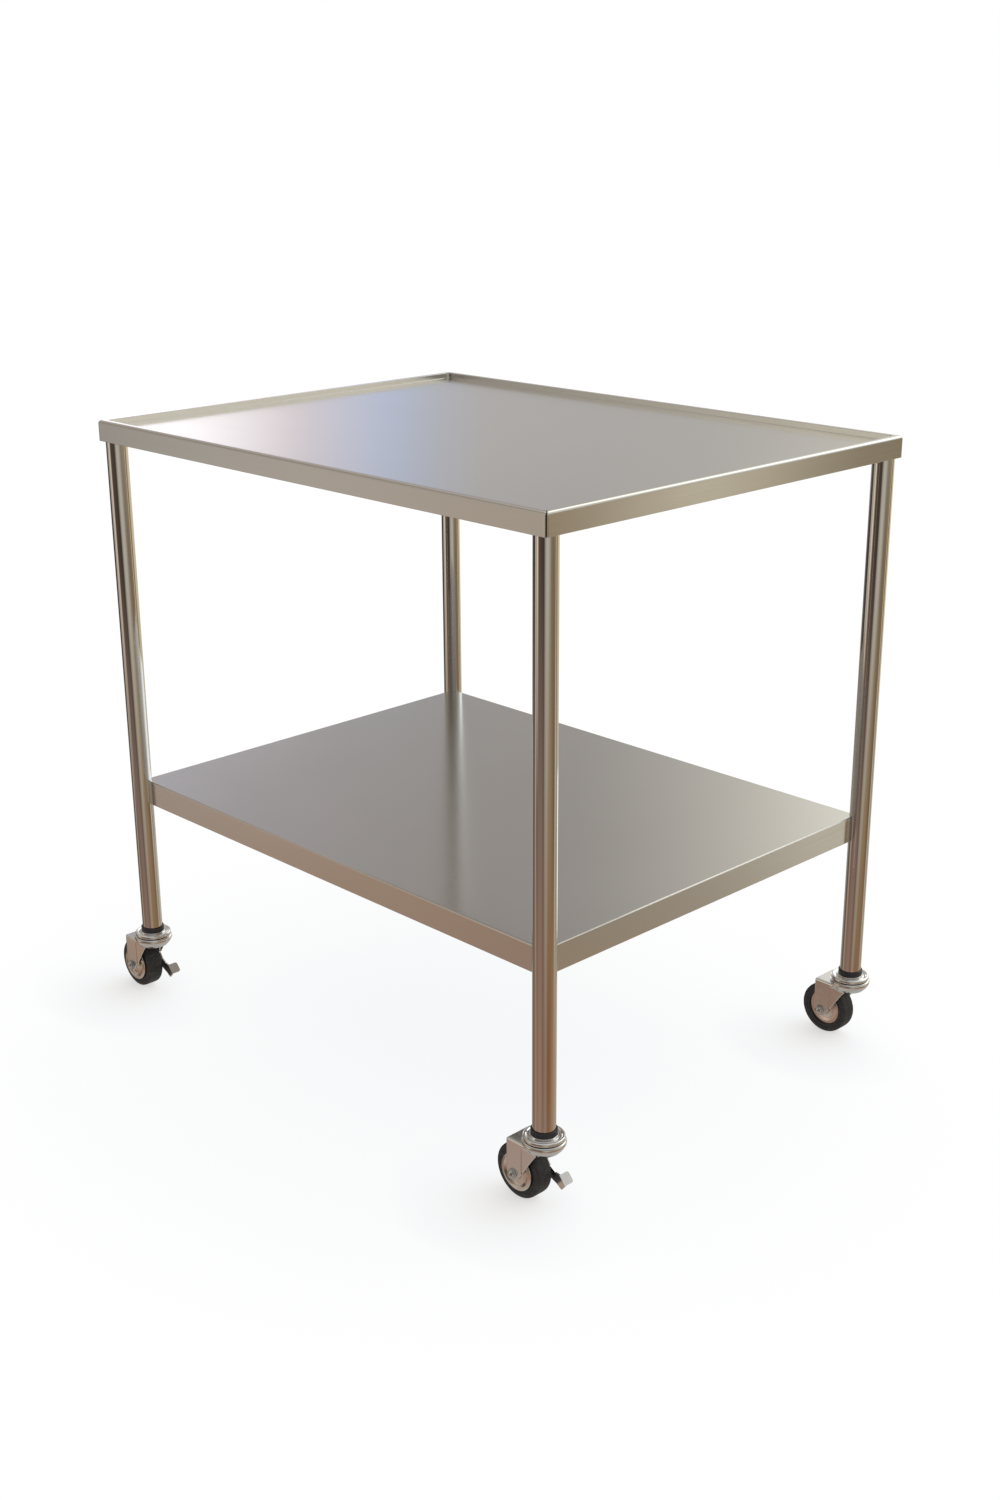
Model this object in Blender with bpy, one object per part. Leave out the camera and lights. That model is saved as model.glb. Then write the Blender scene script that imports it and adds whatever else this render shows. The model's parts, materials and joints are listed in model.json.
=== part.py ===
"""Rolling stainless work table: a rimmed worktop and a lower shelf on four tubular legs with swivel casters.

Metres, +Z up. The floor is z = 0, X runs along the table and -Y is its front. The origin is the middle of
the whole footprint, casters included. The casters trail towards -X, and the two front ones have a brake.
"""

import math

import bmesh
import bpy
from mathutils import Matrix, Vector

# Worktop, outside sizes
TOP_LENGTH = 0.914
TOP_WIDTH = 0.696
TOP_HEIGHT = 0.917
RIM_WIDTH = 0.010
RIM_RISE = 0.008
TOP_SKIRT = 0.030

# Lower shelf
SHELF_LENGTH = 0.871
SHELF_WIDTH = 0.655
SHELF_HEIGHT = 0.362
SHELF_SKIRT = 0.038

# Sheet metal
SHEET = 0.0010
HEM = 0.010
STIFFENER_SHEET = 0.0012
GAP = 0.0003

# Legs
LEG_RADIUS = 0.0156
LEG_WALL = 0.0015
LEG_INSET = 0.0183
LEG_BOTTOM = 0.114
LEG_SIDES = 24

# Leg plates under the worktop
PLATE_THICK = 0.003
PLATE_SIZE = 0.060
PLATE_EDGE = 0.0150
SPIGOT_LENGTH = 0.040

# Stiffening channels
CHANNEL_LENGTH = 0.78
CHANNEL_WEB = 0.040
CHANNEL_FLANGE = 0.016
TOP_CHANNEL_DEPTH = 0.016
TOP_CHANNEL_Y = 0.17
SHELF_CHANNEL_DEPTH = 0.022

# Casters. Heights are above the floor, and distances are from the leg's axis.
WHEEL_RADIUS = 0.039
WHEEL_HALF_WIDTH = 0.0125
HUB_RADIUS = 0.0262
GUARD_RADIUS = 0.0270
TRAIL = 0.036
AXLE_RADIUS = 0.004
AXLE_HEAD = 0.013
BOLT_HEAD_THICK = 0.005
NUT_THICK = 0.0034
SPACER_RADIUS = 0.0065
STEM_RADIUS = 0.006
STEM_TOP = 0.160
COLLAR_RADIUS = 0.0178
COLLAR_BOTTOM = 0.1065
UPPER_RACE_RADIUS = 0.0280
LOWER_RACE_RADIUS = 0.0295
LOWER_RACE_TOP = 0.0982
RACE_SKIRT_BOTTOM = 0.0815
FORK_TOP = 0.0885
FORK_SHEET = 0.0022
FORK_HALF_WIDTH = 0.0216
FORK_BACK = 0.0473
FORK_FRONT = 0.0120
FORK_TOE = 0.0095
ROUND_SIDES = 20
TYRE_SIDES = 30

# Brake pedal: a plate between the tyre and the far cheek, with a foot tab folded outwards at its toe
PEDAL_PIVOT = (-0.022, 0.0700)
PEDAL_NEAR = 0.0152
PEDAL_SHEET = 0.0022
PEDAL_TAB = 0.0140
PEDAL_PIN_RADIUS = 0.0025
SHOE_ANGLE = 54.0
SHOE_HALF_WIDTH = 0.005
SHOE_LENGTH = 0.013

LEG_X = TOP_LENGTH / 2 - LEG_INSET
LEG_Y = TOP_WIDTH / 2 - LEG_INSET

# The casters trail one way, so the structure stands off the middle of the footprint by this much
STRUCTURE_X = (TRAIL + WHEEL_RADIUS - LOWER_RACE_RADIUS) / 2

# Corner name: side along X, side along Y, swivel angle at rest in degrees, and whether it has a brake
CORNERS = {
    "front_left": (-1, -1, 0.0, True),
    "front_right": (1, -1, 0.0, True),
    "back_right": (1, 1, 0.0, False),
    "back_left": (-1, 1, 0.0, False),
}

# Colour, roughness and metallic value of each material
MATERIALS = {
    "stainless_sheet": ((0.62, 0.61, 0.59), 0.30, 1.0),
    "stainless_tube": ((0.66, 0.64, 0.61), 0.14, 1.0),
    "galvanised_steel": ((0.52, 0.54, 0.55), 0.45, 1.0),
    "zinc_plate": ((0.70, 0.69, 0.66), 0.20, 1.0),
    "axle_steel": ((0.60, 0.60, 0.61), 0.28, 1.0),
    "wheel_disc": ((0.58, 0.52, 0.46), 0.25, 1.0),
    "black_nylon": ((0.018, 0.018, 0.020), 0.45, 0.0),
    "tyre_rubber": ((0.022, 0.022, 0.023), 0.60, 0.0),
}


# ---------------------------------------------------------------- scene, materials, objects


def clear_scene():
    for existing in list(bpy.data.objects):
        bpy.data.objects.remove(existing, do_unlink=True)


def material(name):
    """The named Principled material, made the first time it is asked for."""
    found = bpy.data.materials.get(name)
    if found:
        return found
    colour, roughness, metallic = MATERIALS[name]
    made = bpy.data.materials.new(name)
    made.use_nodes = True
    shader = made.node_tree.nodes["Principled BSDF"]
    shader.inputs["Base Color"].default_value = (*colour, 1.0)
    shader.inputs["Roughness"].default_value = roughness
    shader.inputs["Metallic"].default_value = metallic
    made.diffuse_color = (*colour, 1.0)
    return made


def axis_empty(name, location, parent=None, angle=0.0):
    """An empty on a joint's axis, or at a leg's foot, that holds the pieces placed from it."""
    empty = bpy.data.objects.new(name, None)
    empty.location = location
    empty.rotation_euler = (0.0, 0.0, math.radians(angle))
    empty.parent = parent
    bpy.context.scene.collection.objects.link(empty)
    return empty


def piece(name, bm, material_name, parent=None, location=(0.0, 0.0, 0.0), smooth=False):
    """One sub-part, from a finished bmesh."""
    bmesh.ops.remove_doubles(bm, verts=bm.verts, dist=1e-6)
    bmesh.ops.recalc_face_normals(bm, faces=bm.faces)
    mesh = bpy.data.meshes.new(name)
    bm.to_mesh(mesh)
    bm.free()
    mesh.materials.append(material(material_name))
    if smooth:
        mesh.shade_smooth()
        mesh.set_sharp_from_angle(angle=math.radians(35))
    made = bpy.data.objects.new(name, mesh)
    made.parent = parent
    made.location = location
    bpy.context.scene.collection.objects.link(made)
    return made


def boolean(target, tool, operation):
    """Joins a tool to the target or cuts it away, and leaves the tool as a hidden guide."""
    cut = target.modifiers.new(operation.lower() + "_" + tool.name, "BOOLEAN")
    cut.object = tool
    cut.operation = operation
    cut.solver = "EXACT"
    tool.hide_render = True
    tool.display_type = "WIRE"


# ---------------------------------------------------------------- shapes


def turned(profile, sides, axis="Z"):
    """A closed profile of (radius, height) points turned about an axis; a radius of 0 lies on it."""
    bm = bmesh.new()
    rings = []
    for radius, height in profile:
        if radius == 0.0:
            rings.append([bm.verts.new((0.0, 0.0, height))])
            continue
        angles = [2 * math.pi * i / sides for i in range(sides)]
        rings.append([bm.verts.new((radius * math.cos(a), radius * math.sin(a), height)) for a in angles])
    for ring, following in zip(rings, rings[1:] + rings[:1]):
        if len(ring) == 1 and len(following) == 1:
            continue
        for i in range(sides):
            j = (i + 1) % sides
            corners = [ring[i % len(ring)], ring[j % len(ring)]]
            corners += [following[j % len(following)], following[i % len(following)]]
            bm.faces.new(dict.fromkeys(corners))
    if axis == "Y":
        bmesh.ops.rotate(bm, verts=bm.verts, matrix=Matrix.Rotation(math.radians(-90), 3, "X"))
    return bm


def extruded(outline, start, end, axis="Y"):
    """An outline pushed along an axis from start to end. For axis Y its points are (x, z), for X (y, z)."""

    def place(point, along):
        return (point[0], along, point[1]) if axis == "Y" else (along, point[0], point[1])

    bm = bmesh.new()
    near = [bm.verts.new(place(p, start)) for p in outline]
    far = [bm.verts.new(place(p, end)) for p in outline]
    bm.faces.new(near)
    bm.faces.new(reversed(far))
    for i in range(len(outline)):
        j = (i + 1) % len(outline)
        bm.faces.new((near[i], far[i], far[j], near[j]))
    return bm


def block(low, high):
    """A box from its lowest corner to its highest."""
    outline = [(low[0], low[2]), (high[0], low[2]), (high[0], high[2]), (low[0], high[2])]
    return extruded(outline, low[1], high[1])


def arc(centre, radius, start, end, steps):
    """Points along an arc, from one angle to another in degrees."""
    angles = [math.radians(start + (end - start) * i / steps) for i in range(steps + 1)]
    return [(centre[0] + radius * math.cos(a), centre[1] + radius * math.sin(a)) for a in angles]


def folded_pan(length, width, height, profile):
    """A folded sheet: a profile of (distance in from the edge, height from the top), run round a rectangle.

    The first point bounds the upper surface and the last one the underside.
    """
    bm = bmesh.new()
    rings = []
    for inset, drop in profile:
        x, y = length / 2 - inset, width / 2 - inset
        corners = [(-x, -y), (x, -y), (x, y), (-x, y)]
        rings.append([bm.verts.new((cx, cy, height + drop)) for cx, cy in corners])
    for upper, lower in zip(rings, rings[1:]):
        for i in range(4):
            j = (i + 1) % 4
            bm.faces.new((upper[i], upper[j], lower[j], lower[i]))
    bm.faces.new(reversed(rings[0]))
    bm.faces.new(rings[-1])
    return bm


# ---------------------------------------------------------------- worktop and shelf


def worktop():
    """The rimmed top: a flat pan, a raised rim round it and a skirt with a closed hem."""
    profile = [
        (RIM_WIDTH, -RIM_RISE),
        (RIM_WIDTH, 0.0),
        (0.0, 0.0),
        (0.0, -TOP_SKIRT),
        (2 * SHEET, -TOP_SKIRT),
        (2 * SHEET, HEM - TOP_SKIRT),
        (SHEET, HEM - TOP_SKIRT),
        (SHEET, -SHEET),
        (RIM_WIDTH - SHEET, -SHEET),
        (RIM_WIDTH - SHEET, -RIM_RISE - SHEET),
    ]
    bm = folded_pan(TOP_LENGTH, TOP_WIDTH, TOP_HEIGHT, profile)
    piece("worktop", bm, "stainless_sheet", location=(STRUCTURE_X, 0.0, 0.0))


def shelf():
    """The lower shelf: a flat pan with a hemmed skirt, notched at its corners to clear the legs."""
    profile = [
        (0.0, 0.0),
        (0.0, -SHELF_SKIRT),
        (2 * SHEET, -SHELF_SKIRT),
        (2 * SHEET, HEM - SHELF_SKIRT),
        (SHEET, HEM - SHELF_SKIRT),
        (SHEET, -SHEET),
    ]
    bm = folded_pan(SHELF_LENGTH, SHELF_WIDTH, SHELF_HEIGHT, profile)
    made = piece("shelf", bm, "stainless_sheet", location=(STRUCTURE_X, 0.0, 0.0))
    notch_radius = (LEG_RADIUS + GAP) / math.cos(math.pi / LEG_SIDES)
    reach = SHELF_SKIRT + HEM
    for name, (side_x, side_y, _, _) in CORNERS.items():
        bm = turned([(0.0, -reach), (notch_radius, -reach), (notch_radius, HEM), (0.0, HEM)], LEG_SIDES)
        place = (STRUCTURE_X + side_x * LEG_X, side_y * LEG_Y, SHELF_HEIGHT)
        boolean(made, piece("shelf_notch_" + name, bm, "stainless_sheet", location=place), "DIFFERENCE")


def channel(name, y, top, depth):
    """A hat-section stiffener lying under a pan, with its flanges against the sheet."""
    web, lip, sheet = CHANNEL_WEB / 2, CHANNEL_FLANGE, STIFFENER_SHEET
    outline = [
        (-web - lip, 0.0),
        (-web + sheet, 0.0),
        (-web + sheet, sheet - depth),
        (web - sheet, sheet - depth),
        (web - sheet, 0.0),
        (web + lip, 0.0),
        (web + lip, -sheet),
        (web, -sheet),
        (web, -depth),
        (-web, -depth),
        (-web, -sheet),
        (-web - lip, -sheet),
    ]
    bm = extruded(outline, -CHANNEL_LENGTH / 2, CHANNEL_LENGTH / 2, axis="X")
    piece(name, bm, "galvanised_steel", location=(STRUCTURE_X, y, top - GAP))


def channels():
    under_top = TOP_HEIGHT - RIM_RISE - SHEET
    channel("worktop_channel_front", -TOP_CHANNEL_Y, under_top, TOP_CHANNEL_DEPTH)
    channel("worktop_channel_back", TOP_CHANNEL_Y, under_top, TOP_CHANNEL_DEPTH)
    channel("shelf_channel", 0.0, SHELF_HEIGHT - SHEET, SHELF_CHANNEL_DEPTH)


# ---------------------------------------------------------------- legs


def leg(name, foot):
    top = TOP_HEIGHT - RIM_RISE - SHEET - PLATE_THICK - 2 * GAP
    bore = LEG_RADIUS - LEG_WALL
    profile = [(LEG_RADIUS, top), (LEG_RADIUS, LEG_BOTTOM), (bore, LEG_BOTTOM), (bore, top)]
    piece("leg_" + name, turned(profile, LEG_SIDES), "stainless_tube", foot, smooth=True)


def leg_plate(name, foot, side_x, side_y):
    """The plate that a leg hangs from, with a spigot that plugs the tube."""
    top = TOP_HEIGHT - RIM_RISE - SHEET - GAP
    bottom = top - PLATE_THICK
    xs = sorted((side_x * PLATE_EDGE, side_x * (PLATE_EDGE - PLATE_SIZE)))
    ys = sorted((side_y * PLATE_EDGE, side_y * (PLATE_EDGE - PLATE_SIZE)))
    made = piece(
        "leg_plate_" + name,
        block((xs[0], ys[0], bottom), (xs[1], ys[1], top)),
        "galvanised_steel",
        foot,
    )
    radius = LEG_RADIUS - LEG_WALL - GAP
    root = bottom + PLATE_THICK / 2
    profile = [(0.0, root), (0.0, bottom - SPIGOT_LENGTH), (radius, bottom - SPIGOT_LENGTH), (radius, root)]
    spigot = piece("spigot_" + name, turned(profile, ROUND_SIDES), "galvanised_steel", foot)
    boolean(made, spigot, "UNION")


# ---------------------------------------------------------------- caster, fixed to the leg


def stem_sleeve(name, foot):
    """The nylon bush that plugs the tube, with the collar that shows below it."""
    plug = LEG_RADIUS - LEG_WALL - GAP
    bore = STEM_RADIUS + GAP
    collar_top = LEG_BOTTOM - GAP
    plug_top = STEM_TOP - 0.010
    profile = [
        (bore, plug_top),
        (plug, plug_top),
        (plug, collar_top),
        (COLLAR_RADIUS, collar_top),
        (COLLAR_RADIUS, COLLAR_BOTTOM),
        (bore, COLLAR_BOTTOM),
    ]
    piece("stem_sleeve_" + name, turned(profile, ROUND_SIDES), "black_nylon", foot, smooth=True)


def stem(name, foot):
    """The kingpin: it holds the races together and is riveted over below the fork."""
    head = 0.0095
    head_top = FORK_TOP - FORK_SHEET - GAP
    head_bottom = head_top - 0.003
    profile = [
        (0.0, STEM_TOP),
        (STEM_RADIUS, STEM_TOP),
        (STEM_RADIUS, head_top),
        (head, head_top),
        (head, head_bottom),
        (0.0, head_bottom),
    ]
    piece("stem_" + name, turned(profile, 12), "axle_steel", foot, smooth=True)


def upper_race(name, foot):
    """The upper ball cup: a dished ring with a rounded rim."""
    bore = STEM_RADIUS + GAP
    seat = COLLAR_BOTTOM - GAP
    rim = UPPER_RACE_RADIUS
    under = LOWER_RACE_TOP + 0.0009
    profile = [
        (bore, seat),
        (0.0186, seat),
        (0.0205, seat - 0.0032),
        (0.0232, seat - 0.0022),
        (0.0250, seat - 0.0014),
        (0.0268, seat - 0.0024),
        (rim, seat - 0.0045),
        (0.0268, under),
        (bore, under),
    ]
    piece("upper_race_" + name, turned(profile, ROUND_SIDES), "zinc_plate", foot, smooth=True)


# ---------------------------------------------------------------- caster, swivelling


def ball_ring(name, swivel):
    """The ring of balls between the races, as one solid."""
    inner, outer = 0.0172, 0.0244
    top = LOWER_RACE_TOP + 0.0006
    bottom = LOWER_RACE_TOP - 0.0017 + GAP
    profile = [(outer, top), (outer, bottom), (inner, bottom), (inner, top)]
    piece("ball_ring_" + name, turned(profile, ROUND_SIDES), "axle_steel", swivel, smooth=True)


def cheek_outline():
    """Side view of the fork: upright at the back, round at the axle and swept forward under the race."""
    toe = arc((-TRAIL, WHEEL_RADIUS), FORK_TOE, 205, 340, 5)
    front = [(-0.0205, 0.0430), (-0.0145, 0.0520), (-0.0080, 0.0620), (0.0012, 0.0755), (0.0065, 0.0818)]
    back = [(-FORK_BACK, FORK_TOP), (-FORK_BACK, 0.0400)]
    return back + toe + front + [(FORK_FRONT, FORK_TOP - 2 * FORK_SHEET), (FORK_FRONT, FORK_TOP)]


def lower_race(name, swivel):
    """The lower ball cup, pressed up from the fork's crown, with a skirt that flows down into the cheeks."""
    base = FORK_TOP - FORK_SHEET
    track = LOWER_RACE_TOP - 0.0017
    rim = LOWER_RACE_RADIUS
    profile = [
        (0.0140, FORK_TOP),
        (0.0140, track),
        (0.0252, track),
        (0.0258, LOWER_RACE_TOP),
        (0.0278, LOWER_RACE_TOP),
        (rim, LOWER_RACE_TOP - 0.0022),
        (rim, LOWER_RACE_TOP - 0.0056),
        (0.0262, FORK_TOP - 0.0017),
        (0.0212, RACE_SKIRT_BOTTOM),
        (0.0190, RACE_SKIRT_BOTTOM),
        (0.0190, base + 0.0002),
        (0.0, base + 0.0002),
        (0.0, FORK_TOP),
    ]
    return piece("lower_race_" + name, turned(profile, ROUND_SIDES), "zinc_plate", swivel)


def fork(name, swivel, braked):
    """The pressed fork: two cheeks, a flat crown and the lower ball cup, with holes for stem and axle."""
    half, sheet = FORK_HALF_WIDTH, FORK_SHEET
    made = piece("fork_" + name, extruded(cheek_outline(), -half, half), "zinc_plate", swivel)
    room = block((-2 * FORK_BACK, sheet - half, 0.0), (2 * FORK_FRONT, half - sheet, FORK_TOP - sheet))
    boolean(made, piece("fork_room_" + name, room, "zinc_plate", swivel), "DIFFERENCE")
    boolean(made, lower_race(name, swivel), "UNION")
    bore = STEM_RADIUS + GAP
    hole = turned([(0.0, 0.080), (bore, 0.080), (bore, 0.105), (0.0, 0.105)], 16)
    boolean(made, piece("fork_bore_" + name, hole, "zinc_plate", swivel), "DIFFERENCE")
    bore = AXLE_RADIUS + GAP
    hole = turned([(0.0, -0.03), (bore, -0.03), (bore, 0.03), (0.0, 0.03)], 12, axis="Y")
    place = (-TRAIL, 0.0, WHEEL_RADIUS)
    boolean(made, piece("axle_hole_" + name, hole, "zinc_plate", swivel, place), "DIFFERENCE")
    if braked:
        bore = PEDAL_PIN_RADIUS + GAP
        hole = turned([(0.0, 0.010), (bore, 0.010), (bore, 0.030), (0.0, 0.030)], 12, axis="Y")
        place = (PEDAL_PIVOT[0], 0.0, PEDAL_PIVOT[1])
        boolean(made, piece("pin_hole_" + name, hole, "zinc_plate", swivel, place), "DIFFERENCE")


def hexagon(across_flats):
    radius = across_flats / math.sqrt(3)
    return arc((0.0, 0.0), radius, 0, 300, 5)


def axle_bolt(name, axle):
    """The axle: a hexagon-headed bolt through both cheeks, its head on the far side."""
    outside = FORK_HALF_WIDTH + GAP
    head = extruded(hexagon(AXLE_HEAD), outside, outside + BOLT_HEAD_THICK)
    made = piece("axle_bolt_" + name, head, "axle_steel", axle)
    end, root = outside + NUT_THICK + GAP, outside + BOLT_HEAD_THICK / 2
    profile = [(0.0, -end), (AXLE_RADIUS, -end), (AXLE_RADIUS, root), (0.0, root)]
    shank = turned(profile, 12, axis="Y")
    boolean(made, piece("axle_shank_" + name, shank, "axle_steel", axle), "UNION")


def axle_nut(name, axle):
    """The domed nut on the near side."""
    outside = FORK_HALF_WIDTH + GAP
    end = outside + NUT_THICK
    made = piece("axle_nut_" + name, extruded(hexagon(AXLE_HEAD), -end, -outside), "axle_steel", axle)
    dome = [(0.0, 0.0010), (0.0056, 0.0010), (0.0056, -0.0003), (0.0046, -0.0016), (0.0026, -0.0025), (0.0, -0.0028)]
    bm = turned([(radius, height - end) for radius, height in dome], 12, axis="Y")
    boolean(made, piece("nut_dome_" + name, bm, "axle_steel", axle), "UNION")
    bore, depth = AXLE_RADIUS + GAP, end + 2 * GAP
    hole = turned([(0.0, -depth), (bore, -depth), (bore, 0.0), (0.0, 0.0)], 12, axis="Y")
    boolean(made, piece("nut_bore_" + name, hole, "axle_steel", axle), "DIFFERENCE")


def axle_spacer(name, axle):
    """The sleeve that the wheel turns on, held between the cheeks."""
    half = FORK_HALF_WIDTH - FORK_SHEET - GAP
    bore = AXLE_RADIUS + GAP
    profile = [(SPACER_RADIUS, half), (SPACER_RADIUS, -half), (bore, -half), (bore, half)]
    piece("axle_spacer_" + name, turned(profile, 12, axis="Y"), "axle_steel", axle, smooth=True)


# ---------------------------------------------------------------- wheel


def hub(name, axle, guarded):
    """The wheel's hub with its two side discs. Guarded hubs have discs that stand proud of the tyre."""
    bore = SPACER_RADIUS + GAP
    if guarded:
        face, edge = 0.0176, 0.0158
        side = [(bore, face), (0.0100, face), (0.0205, face), (GUARD_RADIUS, edge)]
        side += [(GUARD_RADIUS, WHEEL_HALF_WIDTH + GAP), (HUB_RADIUS, WHEEL_HALF_WIDTH + GAP)]
    else:
        boss, disc = 0.0176, 0.0092
        side = [(bore, boss), (0.0100, boss), (0.0112, disc), (HUB_RADIUS, disc)]
    profile = side + [(radius, -offset) for radius, offset in reversed(side)]
    piece("hub_" + name, turned(profile, ROUND_SIDES, axis="Y"), "wheel_disc", axle, smooth=True)


def tyre(name, axle):
    """The rubber tyre, with a rounded tread."""
    bore = (HUB_RADIUS + GAP) / math.cos(math.pi / ROUND_SIDES)
    half = WHEEL_HALF_WIDTH
    side = [(bore, half - 0.0004), (WHEEL_RADIUS - 0.0030, half), (WHEEL_RADIUS - 0.0008, half - 0.0022)]
    side += [(WHEEL_RADIUS, half - 0.0062)]
    profile = side + [(radius, -offset) for radius, offset in reversed(side)]
    piece("tyre_" + name, turned(profile, TYRE_SIDES, axis="Y"), "tyre_rubber", axle, smooth=True)


# ---------------------------------------------------------------- brake


def from_pivot(points):
    return [(x - PEDAL_PIVOT[0], z - PEDAL_PIVOT[1]) for x, z in points]


def shoe_outline():
    """Side view of the brake shoe: a flat strip lying just off the tread, above the axle and forward of it."""
    turn = math.radians(SHOE_ANGLE)
    outward, forward = Vector((math.cos(turn), math.sin(turn))), Vector((math.sin(turn), -math.cos(turn)))
    centre = Vector((-TRAIL, WHEEL_RADIUS)) + outward * (WHEEL_RADIUS + 2 * GAP)
    reach, thick = forward * SHOE_HALF_WIDTH, outward * PEDAL_SHEET
    corners = [centre + reach, centre + reach + thick, centre - reach + thick, centre - reach]
    return from_pivot([tuple(corner) for corner in corners])


def pedal_outline():
    """Side view of the pedal's plate: an eye, an arm down past the tyre and a wide toe."""
    eye = arc(PEDAL_PIVOT, 0.0055, 80, 250, 6)
    arm = [(-0.0190, 0.0640), (-0.0140, 0.0580), (-0.0096, 0.0495), (-0.0076, 0.0400), (-0.0064, 0.0335)]
    toe = [(0.0080, 0.0275), (0.0170, 0.0215), (0.0235, 0.0300), (0.0130, 0.0420)]
    upper = [(0.0060, 0.0428), (-0.0044, 0.0490), (-0.0105, 0.0590)]
    return from_pivot(eye + arm + toe + upper) + shoe_outline()[1:3]


def pedal_fold():
    """The two ends of the fold between the plate and its foot tab, from the pivot."""
    upper, lower = from_pivot([(0.0130, 0.0420), (0.0235, 0.0300)])
    return Vector(upper), Vector(lower)


def foot_tab(near, far):
    """The tab's outline in the plane of its fold, with rounded outer corners, pushed through its thickness."""
    inner, outer = pedal_fold()
    along = (outer - inner).normalized()
    normal = Vector((-along.y, along.x))
    length, corner = (outer - inner).length, 0.0035
    outline = [(0.0, near), (length, near)]
    outline += arc((length - corner, far - corner), corner, 0, 90, 3)
    outline += arc((corner, far - corner), corner, 90, 180, 3)
    bm = bmesh.new()
    sides = []
    for height in (0.0, -PEDAL_SHEET):
        base = inner + normal * height
        ring = [base + along * s for s, _ in outline]
        sides.append([bm.verts.new((p.x, y, p.y)) for p, (_, y) in zip(ring, outline)])
    bm.faces.new(sides[0])
    bm.faces.new(reversed(sides[1]))
    for i in range(len(outline)):
        j = (i + 1) % len(outline)
        bm.faces.new((sides[0][i], sides[1][i], sides[1][j], sides[0][j]))
    return bm


def brake_pedal(name, pivot):
    """The pedal: its plate, its foot tab and the shoe that bears on the tread while the pedal is down."""
    near, far = PEDAL_NEAR, PEDAL_NEAR + PEDAL_SHEET
    middle = (near + far) / 2
    made = piece("brake_pedal_" + name, extruded(pedal_outline(), near, far), "zinc_plate", pivot)
    tab = piece("foot_tab_" + name, foot_tab(middle, far + PEDAL_TAB), "zinc_plate", pivot)
    boolean(made, tab, "UNION")
    strip = extruded(shoe_outline(), near - SHOE_LENGTH, middle)
    boolean(made, piece("brake_shoe_" + name, strip, "zinc_plate", pivot), "UNION")
    bore = PEDAL_PIN_RADIUS + GAP
    hole = turned([(0.0, 0.010), (bore, 0.010), (bore, 0.030), (0.0, 0.030)], 12, axis="Y")
    boolean(made, piece("pedal_eye_" + name, hole, "zinc_plate", pivot), "DIFFERENCE")


def pedal_pin(name, pivot):
    """The rivet that the pedal turns on, with a head inside the pedal and one outside the cheek."""
    inside = PEDAL_NEAR - GAP
    outside = FORK_HALF_WIDTH + GAP
    head, thick = 0.0042, 0.0015
    profile = [
        (0.0, inside - thick),
        (head, inside - thick),
        (head, inside),
        (PEDAL_PIN_RADIUS, inside),
        (PEDAL_PIN_RADIUS, outside),
        (head, outside),
        (head, outside + thick),
        (0.0, outside + thick),
    ]
    piece("pedal_pin_" + name, turned(profile, 12, axis="Y"), "axle_steel", pivot, smooth=True)


# ---------------------------------------------------------------- assembly


def caster(name, foot, swivel_angle, braked):
    stem_sleeve(name, foot)
    stem(name, foot)
    upper_race(name, foot)
    swivel = axis_empty("swivel_axis_" + name, (0.0, 0.0, 0.0), foot, swivel_angle)
    ball_ring(name, swivel)
    fork(name, swivel, braked)
    axle = axis_empty("wheel_axis_" + name, (-TRAIL, 0.0, WHEEL_RADIUS), swivel)
    axle_bolt(name, axle)
    axle_nut(name, axle)
    axle_spacer(name, axle)
    hub(name, axle, braked)
    tyre(name, axle)
    if braked:
        pivot = axis_empty("pedal_axis_" + name, (PEDAL_PIVOT[0], 0.0, PEDAL_PIVOT[1]), swivel)
        brake_pedal(name, pivot)
        pedal_pin(name, pivot)


def main():
    clear_scene()
    worktop()
    shelf()
    channels()
    for name, (side_x, side_y, swivel_angle, braked) in CORNERS.items():
        foot = axis_empty("foot_" + name, (STRUCTURE_X + side_x * LEG_X, side_y * LEG_Y, 0.0))
        leg_plate(name, foot, side_x, side_y)
        leg(name, foot)
        caster(name, foot, swivel_angle, braked)


main()
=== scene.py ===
"""The looks of the rolling stainless work table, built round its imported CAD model.

Metres, in the CAD model's frame: the floor is z = 0, X runs along the table, -Y is its front and the casters
trail towards -X. Each visible piece is a finer mesh that stands for its CAD node and rides on the same body.
"""

import json
import math

import bmesh
import bpy
from mathutils import Matrix, Vector

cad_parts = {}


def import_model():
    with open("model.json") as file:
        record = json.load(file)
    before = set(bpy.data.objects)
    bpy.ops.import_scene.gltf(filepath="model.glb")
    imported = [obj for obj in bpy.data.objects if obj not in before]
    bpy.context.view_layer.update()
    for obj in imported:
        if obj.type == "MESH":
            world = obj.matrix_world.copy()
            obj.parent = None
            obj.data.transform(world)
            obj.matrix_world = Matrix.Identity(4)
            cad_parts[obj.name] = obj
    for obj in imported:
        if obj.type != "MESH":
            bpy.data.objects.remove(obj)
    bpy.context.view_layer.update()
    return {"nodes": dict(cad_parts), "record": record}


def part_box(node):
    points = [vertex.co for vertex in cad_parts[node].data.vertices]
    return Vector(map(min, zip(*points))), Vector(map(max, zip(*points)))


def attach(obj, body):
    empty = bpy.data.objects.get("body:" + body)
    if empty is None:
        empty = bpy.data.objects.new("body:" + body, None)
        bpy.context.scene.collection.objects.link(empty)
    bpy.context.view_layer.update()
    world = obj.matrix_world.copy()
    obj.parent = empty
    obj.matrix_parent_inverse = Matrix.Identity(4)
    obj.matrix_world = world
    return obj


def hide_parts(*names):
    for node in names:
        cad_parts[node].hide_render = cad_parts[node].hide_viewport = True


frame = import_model()

# Sheet metal
SHEET = 0.0010
HEM = 0.010
GAP = 0.0003

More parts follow.
